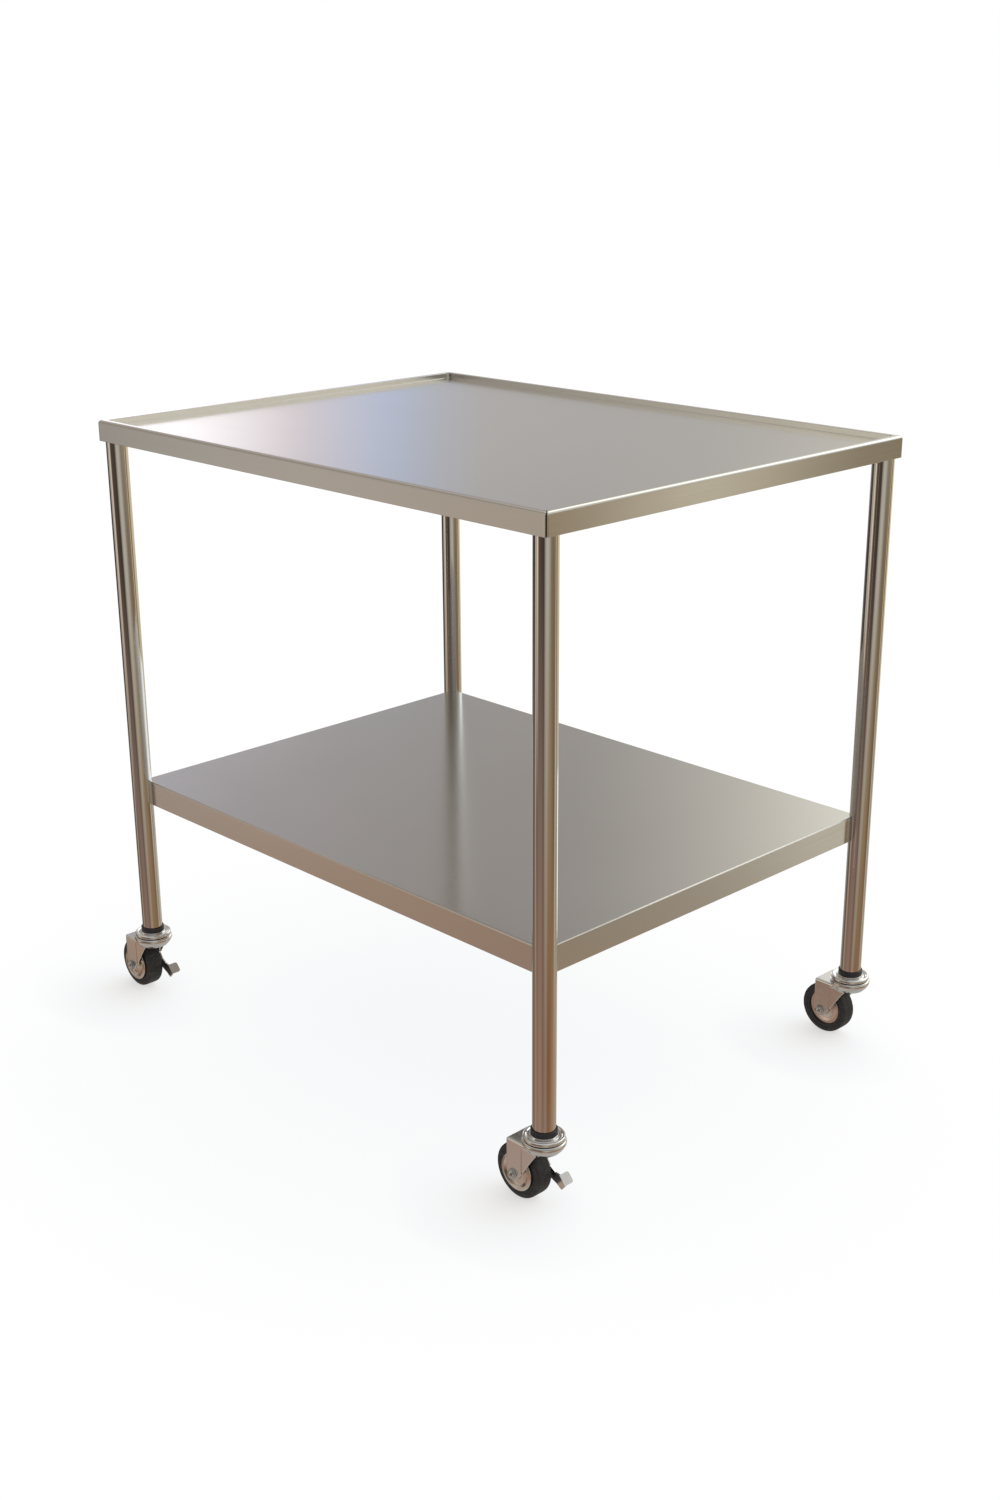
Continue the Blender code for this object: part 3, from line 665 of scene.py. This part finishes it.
def folded_pan(name, node, profile, seam):
    """A folded sheet pan as wide and long as its CAD node. Profile points are (inset, drop, fold radius), and
    the corners of the rings in the range called seam show the seam between two folds."""
    low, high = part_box(node)
    centre = (low + high) / 2
    half_x, half_y = (high.x - low.x) / 2, (high.y - low.y) / 2
    bm = bmesh.new()
    rings = []
    for inset, drop in rounded(profile, closed=False, steps=5):
        open_seam = len(rings) in range(*seam)
        rings.append(pan_ring(bm, half_x - inset, half_y - inset, high.z + drop, CORNER_RADIUS, open_seam))
    for level, (upper, lower) in enumerate(zip(rings, rings[1:])):
        for i in range(len(upper)):
            j = (i + 1) % len(upper)
            face = bm.faces.new((upper[i], upper[j], lower[j], lower[i]))
            # Faces on the seam's walls take the second finish, the seam's painted shade
            painted_shade_wall = i % CORNER_POINTS in SEAM_WALLS_PAINTED_DARK and seam[0] <= level < seam[1] - 1
            face.material_index = 1 if painted_shade_wall else 0
    bm.faces.new(reversed(rings[0]))
    bm.faces.new(rings[-1])
    made = solid(name, bm)
    made.data.transform(Matrix.Translation((centre.x, centre.y, 0.0)))
    return made


def worktop():
    profile = [
        (RIM_WIDTH + PAN_MARGIN, -RIM_RISE, 0.0),
        (RIM_WIDTH, -RIM_RISE, 0.0006),
        (RIM_WIDTH, 0.0, 0.0010),
        (0.0, 0.0, 0.0045),
        (0.0, -TOP_SKIRT, 0.0006),
        (2 * SHEET, -TOP_SKIRT, 0.0006),
        (2 * SHEET, HEM - TOP_SKIRT, 0.0),
        (SHEET, HEM - TOP_SKIRT, 0.0),
        (SHEET, -SHEET, 0.0035),
        (RIM_WIDTH - SHEET, -SHEET, 0.0005),
        (RIM_WIDTH - SHEET, -RIM_RISE - SHEET, 0.0005),
        (RIM_WIDTH + PAN_MARGIN, -RIM_RISE - SHEET, 0.0),
    ]
    made = smooth(folded_pan("worktop_sheet", "worktop", profile, WORKTOP_SEAM))
    # The second finish paints the shade inside the corner seams
    place(made, "worktop", extra=("seam",))


def shelf():
    profile = [
        (PAN_MARGIN, 0.0, 0.0),
        (0.0, 0.0, 0.0026),
        (0.0, -SHELF_SKIRT, 0.0006),
        (2 * SHEET, -SHELF_SKIRT, 0.0006),
        (2 * SHEET, HEM - SHELF_SKIRT, 0.0),
        (SHEET, HEM - SHELF_SKIRT, 0.0),
        (SHEET, -SHEET, 0.0016),
        (PAN_MARGIN, -SHEET, 0.0),
    ]
    made = folded_pan("shelf_sheet", "shelf", profile, NO_SEAM)
    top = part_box("shelf")[1].z
    for corner in CORNERS:
        low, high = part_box("leg_" + corner)
        axis, radius = (low + high) / 2, (high.x - low.x) / 2 + GAP
        reach = SHELF_SKIRT + HEM
        notch = turned([(0.0, -reach), (radius, -reach), (radius, HEM), (0.0, HEM)], LEG_SEGMENTS)
        bmesh.ops.translate(notch, verts=notch.verts, vec=(axis.x, axis.y, top))
        combine(made, solid("notch", notch), "DIFFERENCE")
    place(smooth(made), "shelf")


# ---------------------------------------------------------------- legs and casters


def leg(corner):
    node = "leg_" + corner
    low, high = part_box(node)
    radius = (high.x - low.x) / 2
    bore, chamfer = radius - LEG_WALL, 0.0004
    profile = rounded(
        [
            (radius, high.z, chamfer),
            (radius, low.z, chamfer),
            (bore, low.z, chamfer),
            (bore, high.z, chamfer),
        ],
        steps=2,
    )
    made = smooth(solid("tube_" + corner, turned(profile, LEG_SEGMENTS)))
    centre = (low + high) / 2
    place(made, node, (centre.x, centre.y, 0.0))


def foot_of(corner):
    """The point on the floor under a leg's axis."""
    low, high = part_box("leg_" + corner)
    return Vector(((low.x + high.x) / 2, (low.y + high.y) / 2, 0.0))


def stem_sleeve(corner):
    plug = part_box("leg_" + corner)
    plug = (plug[1].x - plug[0].x) / 2 - LEG_WALL - GAP
    bore, edge = STEM_RADIUS + GAP, 0.0008
    profile = rounded(
        [
            (bore, STEM_TOP - 0.010, 0.0),
            (plug, STEM_TOP - 0.010, edge),
            (plug, COLLAR_TOP, 0.0),
            (COLLAR_RADIUS, COLLAR_TOP, edge),
            (COLLAR_RADIUS, COLLAR_BOTTOM, edge),
            (bore, COLLAR_BOTTOM, 0.0),
        ]
    )
    made = smooth(solid("sleeve_" + corner, turned(profile, 64)))
    place(made, "stem_sleeve_" + corner, foot_of(corner))


def stem(corner):
    head, head_top = 0.0095, FORK_TOP - FORK_SHEET - GAP
    profile = rounded(
        [
            (0.0, STEM_TOP, 0.0),
            (STEM_RADIUS, STEM_TOP, 0.001),
            (STEM_RADIUS, head_top, 0.0),
            (head, head_top, 0.0006),
            (head, head_top - 0.003, 0.0022),
            (0.0, head_top - 0.003, 0.0),
        ]
    )
    made = smooth(solid("kingpin_" + corner, turned(profile, 32)))
    place(made, "stem_" + corner, foot_of(corner))


def upper_race(corner):
    """The upper ball cup: a dished ring whose rim is a full round bead."""
    bore, seat, rim = STEM_RADIUS + GAP, COLLAR_BOTTOM - GAP, UPPER_RACE_RADIUS
    under = LOWER_RACE_TOP + 0.0009
    profile = rounded(
        [
            (bore, seat, 0.0),
            (0.0184, seat, 0.0008),
            (0.0203, seat - 0.0036, 0.0012),
            (0.0226, seat - 0.0030, 0.0018),
            (0.0252, seat - 0.0010, 0.0030),
            (rim, seat - 0.0024, 0.0026),
            (rim, under + 0.0012, 0.0020),
            (0.0266, under, 0.0008),
            (bore, under, 0.0),
        ],
        steps=5,
    )
    made = smooth(solid("top_race_" + corner, turned(profile, 96)))
    place(made, "upper_race_" + corner, foot_of(corner))


def ball_ring(corner):
    inner, outer, edge = 0.0172, 0.0244, 0.0007
    top, bottom = LOWER_RACE_TOP + 0.0006, LOWER_RACE_TOP - 0.0017 + GAP
    profile = [(outer, top, edge), (outer, bottom, edge), (inner, bottom, edge), (inner, top, edge)]
    made = smooth(solid("balls_" + corner, turned(rounded(profile, steps=3), 64)))
    place(made, "ball_ring_" + corner, foot_of(corner))


def cheek_outline():
    """Side view of the fork: upright at the back, round at the axle and swept forward under the race."""
    toe = [(x, z, 0.0) for x, z in arc((-TRAIL, WHEEL_RADIUS), FORK_TOE, 205, 340, 16)]
    front = [(-0.0205, 0.0430, 0.010), (-0.0145, 0.0520, 0.03), (-0.0080, 0.0620, 0.03)]
    front += [(0.0012, 0.0755, 0.02), (0.0065, 0.0818, 0.01)]
    front += [(FORK_FRONT, FORK_TOP - 2 * FORK_SHEET, 0.0), (FORK_FRONT, FORK_TOP, 0.0)]
    back = [(-FORK_BACK, FORK_TOP, 0.0), (-FORK_BACK, 0.0400, 0.004)]
    return rounded(back + toe + front)


def fork_mesh():
    """The pressed fork, made once: cheeks and crown bent from one strip, flowing into the lower ball cup."""
    half, sheet = FORK_HALF_WIDTH, FORK_SHEET
    bend = 0.0030
    strip = rounded(
        [
            (-half, 0.0, 0.0),
            (-half, FORK_TOP, bend),
            (half, FORK_TOP, bend),
            (half, 0.0, 0.0),
            (half - sheet, 0.0, 0.0),
            (half - sheet, FORK_TOP - sheet, bend / 2),
            (sheet - half, FORK_TOP - sheet, bend / 2),
            (sheet - half, 0.0, 0.0),
        ],
        steps=6,
    )
    made = solid("fork_strip", extruded(strip, -FORK_BACK - 0.01, FORK_FRONT + 0.01, axis="X"))
    combine(made, solid("outline", extruded(cheek_outline(), -2 * half, 2 * half)), "INTERSECT")
    left, low, right, high = CHEEK_STEP
    web = [(left, low), (right, low), (right, high), (left, high)]
    for start, end in ((half - CHEEK_STEP_DEPTH, 2 * half), (-2 * half, CHEEK_STEP_DEPTH - half)):
        combine(made, solid("web", extruded(web, start, end)), "DIFFERENCE")
    base, track, rim = FORK_TOP - sheet, LOWER_RACE_TOP - 0.0017, LOWER_RACE_RADIUS
    cup = rounded(
        [
            (0.0140, FORK_TOP - 0.0008, 0.0),
            (0.0140, track, 0.0008),
            (0.0252, track, 0.0004),
            (0.0258, LOWER_RACE_TOP, 0.0006),
            (0.0278, LOWER_RACE_TOP, 0.0010),
            (rim, LOWER_RACE_TOP - 0.0022, 0.0016),
            (rim, LOWER_RACE_TOP - 0.0056, 0.0020),
            (0.0262, FORK_TOP - 0.0017, 0.0020),
            (0.0212, RACE_SKIRT_BOTTOM, 0.0004),
            (0.0190, RACE_SKIRT_BOTTOM, 0.0004),
            (0.0190, base + 0.0002, 0.0),
            (0.0, base + 0.0002, 0.0),
            (0.0, FORK_TOP - 0.0008, 0.0),
        ]
    )
    combine(made, solid("cup", turned(cup, 96)), "UNION")
    hole = turned([(0.0, 0.080), (STEM_RADIUS + GAP, 0.080), (STEM_RADIUS + GAP, 0.105), (0.0, 0.105)], 48)
    combine(made, solid("hole", hole), "DIFFERENCE")
    bore = AXLE_RADIUS + GAP
    hole = turned([(0.0, -0.03), (bore, -0.03), (bore, 0.03), (0.0, 0.03)], 32, axis="Y")
    bmesh.ops.translate(hole, verts=hole.verts, vec=(-TRAIL, 0.0, WHEEL_RADIUS))
    combine(made, solid("hole", hole), "DIFFERENCE")
    melt = made.modifiers.new("voxels", "REMESH")
    melt.mode = "VOXEL"
    melt.voxel_size = FORK_VOXEL
    melt.use_smooth_shade = True
    relax = made.modifiers.new("relax", "SMOOTH")
    relax.factor = 0.5
    relax.iterations = FORK_RELAX_STEPS
    thin = made.modifiers.new("thin", "DECIMATE")
    thin.ratio = FORK_TRIANGLES_KEPT
    settle(made)
    mesh = made.data
    bpy.data.objects.remove(made, do_unlink=True)
    return mesh


def fork(corner, mesh):
    made = bpy.data.objects.new("yoke_" + corner, mesh.copy())
    bpy.context.scene.collection.objects.link(made)
    made.data.shade_smooth()
    place(made, "fork_" + corner, foot_of(corner))


def hexagon(across_flats):
    return arc((0.0, 0.0), across_flats / math.sqrt(3), 0, 300, 5)


def chamfered_hexagon(name, start, end, face):
    """A hexagon head along Y whose corners are turned off on its outer face, at face."""
    made = solid(name, extruded(hexagon(AXLE_HEAD), start, end))
    corner, flat, slope = AXLE_HEAD / math.sqrt(3), AXLE_HEAD / 2, 0.0012
    inward = -1 if face > 0 else 1
    other = end if face == start else start
    cone = [(0.0, face), (flat * 0.97, face), (corner * 1.02, face + inward * slope), (corner * 1.02, other)]
    cone += [(0.0, other)]
    return combine(made, solid("cone", turned(cone, 48, axis="Y")), "INTERSECT")


def axle_at(corner):
    return foot_of(corner) + Vector((-TRAIL, 0.0, WHEEL_RADIUS))


def axle_bolt(corner):
    outside = FORK_HALF_WIDTH + GAP
    made = chamfered_hexagon("bolt_" + corner, outside, outside + BOLT_HEAD_THICK, outside + BOLT_HEAD_THICK)
    end, root = outside + NUT_THICK + GAP, outside + BOLT_HEAD_THICK / 2
    profile = [(0.0, -end), (AXLE_RADIUS, -end), (AXLE_RADIUS, root), (0.0, root)]
    combine(made, solid("shank", turned(profile, 32, axis="Y")), "UNION")
    place(smooth(made), "axle_bolt_" + corner, axle_at(corner))


def axle_nut(corner):
    outside = FORK_HALF_WIDTH + GAP
    end = outside + NUT_THICK
    made = chamfered_hexagon("nut_" + corner, -end, -outside, -end)
    dome = [(0.0, 0.0010, 0.0), (0.0056, 0.0010, 0.0), (0.0056, -0.0003, 0.0006), (0.0046, -0.0016, 0.003)]
    dome += [(0.0026, -0.0025, 0.003), (0.0, -0.0028, 0.0)]
    profile = [(radius, height - end) for radius, height in rounded(dome, closed=False)]
    combine(made, solid("dome", turned(profile, 40, axis="Y")), "UNION")
    bore, depth = AXLE_RADIUS + GAP, end + 2 * GAP
    hole = turned([(0.0, -depth), (bore, -depth), (bore, 0.0), (0.0, 0.0)], 32, axis="Y")
    combine(made, solid("bore", hole), "DIFFERENCE")
    place(smooth(made), "axle_nut_" + corner, axle_at(corner))


def axle_spacer(corner):
    half, bore = FORK_HALF_WIDTH - FORK_SHEET - GAP, AXLE_RADIUS + GAP
    edge, outer = 0.0003, SPACER_RADIUS
    profile = [(outer, half, edge), (outer, -half, edge), (bore, -half, edge), (bore, half, edge)]
    made = smooth(solid("spacer_" + corner, turned(rounded(profile, steps=2), 48, axis="Y")))
    place(made, "axle_spacer_" + corner, axle_at(corner))


def mirrored(side):
    """A wheel's closed profile from one side of it: (radius, offset) points, outwards."""
    return side + [(radius, -offset) for radius, offset in reversed(side)]


def hub(corner, guarded):
    """The hub and its side discs. Guarded discs stand proud of the tyre, with a rolled edge."""
    bore = SPACER_RADIUS + GAP
    if guarded:
        side = [
            (bore, 0.0172, 0.0),
            (0.0086, 0.0176, 0.0004),
            (0.0098, 0.0176, 0.0010),
            (0.0112, 0.0146, 0.0012),
            (0.0178, 0.0140, 0.0020),
            (0.0222, 0.0168, 0.0024),
            (GUARD_RADIUS, 0.0156, 0.0014),
            (GUARD_RADIUS, WHEEL_HALF_WIDTH + 0.0010, 0.0004),
            (HUB_RADIUS, WHEEL_HALF_WIDTH + GAP, 0.0),
        ]
    else:
        side = [
            (bore, 0.0172, 0.0),
            (0.0086, 0.0176, 0.0004),
            (0.0098, 0.0176, 0.0010),
            (0.0110, 0.0100, 0.0012),
            (0.0170, 0.0086, 0.0020),
            (0.0222, 0.0092, 0.0016),
            (HUB_RADIUS, 0.0092, 0.0),
        ]
    profile = mirrored(rounded(side, closed=False))
    made = smooth(solid("disc_" + corner, turned(profile, 96, axis="Y")))
    place(made, "hub_" + corner, axle_at(corner))


def tyre(corner):
    """The tyre, with a square shoulder, a mould line round the tread and a bead ring on each side."""
    bore, half = HUB_RADIUS + GAP, WHEEL_HALF_WIDTH
    side = [
        (bore, half - 0.0014, 0.0),
        (bore + 0.0010, half - 0.0004, 0.0008),
        (0.0300, half - 0.0004, 0.0006),
        (0.0306, half - 0.0008, 0.0004),
        (0.0314, half - 0.0008, 0.0004),
        (0.0320, half - 0.0002, 0.0006),
        (0.0364, half, 0.0020),
        (0.0386, half - 0.0014, 0.0020),
        (WHEEL_RADIUS, half - 0.0042, 0.0030),
        (WHEEL_RADIUS, 0.0004, 0.0),
        (WHEEL_RADIUS - 0.0002, 0.0002, 0.0),
    ]
    profile = mirrored(rounded(side, closed=False))
    made = smooth(solid("tread_" + corner, turned(profile, 128, axis="Y")))
    place(made, "tyre_" + corner, axle_at(corner))


# ---------------------------------------------------------------- brake


def shoe_outline():
    """Side view of the brake shoe: a flat strip lying just off the tread."""
    turn = math.radians(SHOE_ANGLE)
    outward, forward = Vector((math.cos(turn), math.sin(turn))), Vector((math.sin(turn), -math.cos(turn)))
    centre = Vector((-TRAIL, WHEEL_RADIUS)) + outward * (WHEEL_RADIUS + 2 * GAP)
    reach, thick = forward * SHOE_HALF_WIDTH, outward * PEDAL_SHEET
    near, far = centre + reach, centre - reach
    return [tuple(p) for p in (near, near + thick, far + thick, far)]


def pedal_outline():
    """Side view of the pedal's plate: an eye, an arm down past the tyre and a wide toe."""
    eye = [(x, z, 0.0) for x, z in arc(PEDAL_PIVOT, 0.0055, 80, 250, 16)]
    arm = [(-0.0190, 0.0640), (-0.0140, 0.0580), (-0.0096, 0.0495), (-0.0076, 0.0400), (-0.0064, 0.0335)]
    toe = [(0.0080, 0.0275, 0.004), (0.0170, 0.0215, 0.0016)]
    toe += [(*TAB_OUTER, 0.0004), (*TAB_INNER, 0.0004)]
    upper = [(0.0060, 0.0428, 0.004), (-0.0044, 0.0490, 0.006), (-0.0105, 0.0590, 0.010)]
    shoe = [(x, z, 0.0) for x, z in shoe_outline()[1:3]]
    return rounded(eye + [(x, z, 0.005) for x, z in arm] + toe + upper + shoe)


def foot_tab(near, far):
    """The tab in the plane of its fold, with rounded outer corners, pushed through its thickness."""
    inner, outer = Vector(TAB_INNER), Vector(TAB_OUTER)
    along = (outer - inner).normalized()
    normal = Vector((-along.y, along.x))
    length, corner = (outer - inner).length, 0.0035
    outline = [(0.0, near), (length, near)]
    outline += arc((length - corner, far - corner), corner, 0, 90, 10)
    outline += arc((corner, far - corner), corner, 90, 180, 10)
    bm = bmesh.new()
    sides = []
    for height in (0.0, -PEDAL_SHEET):
        base = inner + normal * height
        ring = [base + along * s for s, _ in outline]
        sides.append([bm.verts.new((p.x, y, p.y)) for p, (_, y) in zip(ring, outline)])
    bm.faces.new(sides[0])
    bm.faces.new(reversed(sides[1]))
    for i in range(len(outline)):
        j = (i + 1) % len(outline)
        bm.faces.new((sides[0][i], sides[1][i], sides[1][j], sides[0][j]))
    return bm


def brake_pedal(corner):
    near, far = PEDAL_NEAR, PEDAL_NEAR + PEDAL_SHEET
    middle = (near + far) / 2
    made = solid("lever_" + corner, extruded(pedal_outline(), near, far))
    combine(made, solid("tab", foot_tab(middle, far + PEDAL_TAB)), "UNION")
    combine(made, solid("shoe", extruded(shoe_outline(), near - SHOE_LENGTH, middle)), "UNION")
    bore = PEDAL_PIN_RADIUS + GAP
    hole = turned([(0.0, 0.010), (bore, 0.010), (bore, 0.030), (0.0, 0.030)], 32, axis="Y")
    bmesh.ops.translate(hole, verts=hole.verts, vec=(PEDAL_PIVOT[0], 0.0, PEDAL_PIVOT[1]))
    combine(made, solid("eye", hole), "DIFFERENCE")
    soften(made, 0.0004)
    place(smooth(made), "brake_pedal_" + corner, foot_of(corner))


def pedal_pin(corner):
    """The rivet that the pedal turns on, with domed heads."""
    inside, outside = PEDAL_NEAR - GAP, FORK_HALF_WIDTH + GAP
    head, thick = 0.0042, 0.0015
    profile = rounded(
        [
            (0.0, inside - thick, 0.0),
            (head, inside - thick, 0.0012),
            (head, inside, 0.0),
            (PEDAL_PIN_RADIUS, inside, 0.0),
            (PEDAL_PIN_RADIUS, outside, 0.0),
            (head, outside, 0.0),
            (head, outside + thick, 0.0012),
            (0.0, outside + thick, 0.0),
        ]
    )
    made = smooth(solid("rivet_" + corner, turned(profile, 32, axis="Y")))
    place(made, "pedal_pin_" + corner, foot_of(corner) + Vector((PEDAL_PIVOT[0], 0.0, PEDAL_PIVOT[1])))


# ---------------------------------------------------------------- assembly


def keep_node(node):
    """A CAD node that shows as it is, with its own finish."""
    kept = frame["nodes"][node]
    kept.data.materials.clear()
    kept.data.materials.append(FINISHES[SLOT_OF[node]])


bpy.context.scene.view_settings.view_transform = "Standard"
camera()
world()
key_light()
floor()
worktop()
shelf()
fork_shape = fork_mesh()
for corner, braked in CORNERS.items():
    leg(corner)
    stem_sleeve(corner)
    stem(corner)
    upper_race(corner)
    ball_ring(corner)
    fork(corner, fork_shape)
    axle_bolt(corner)
    axle_nut(corner)
    axle_spacer(corner)
    hub(corner, braked)
    tyre(corner)
    if braked:
        brake_pedal(corner)
        pedal_pin(corner)
    keep_node("leg_plate_" + corner)
for channel in ("worktop_channel_front", "worktop_channel_back", "shelf_channel"):
    keep_node(channel)
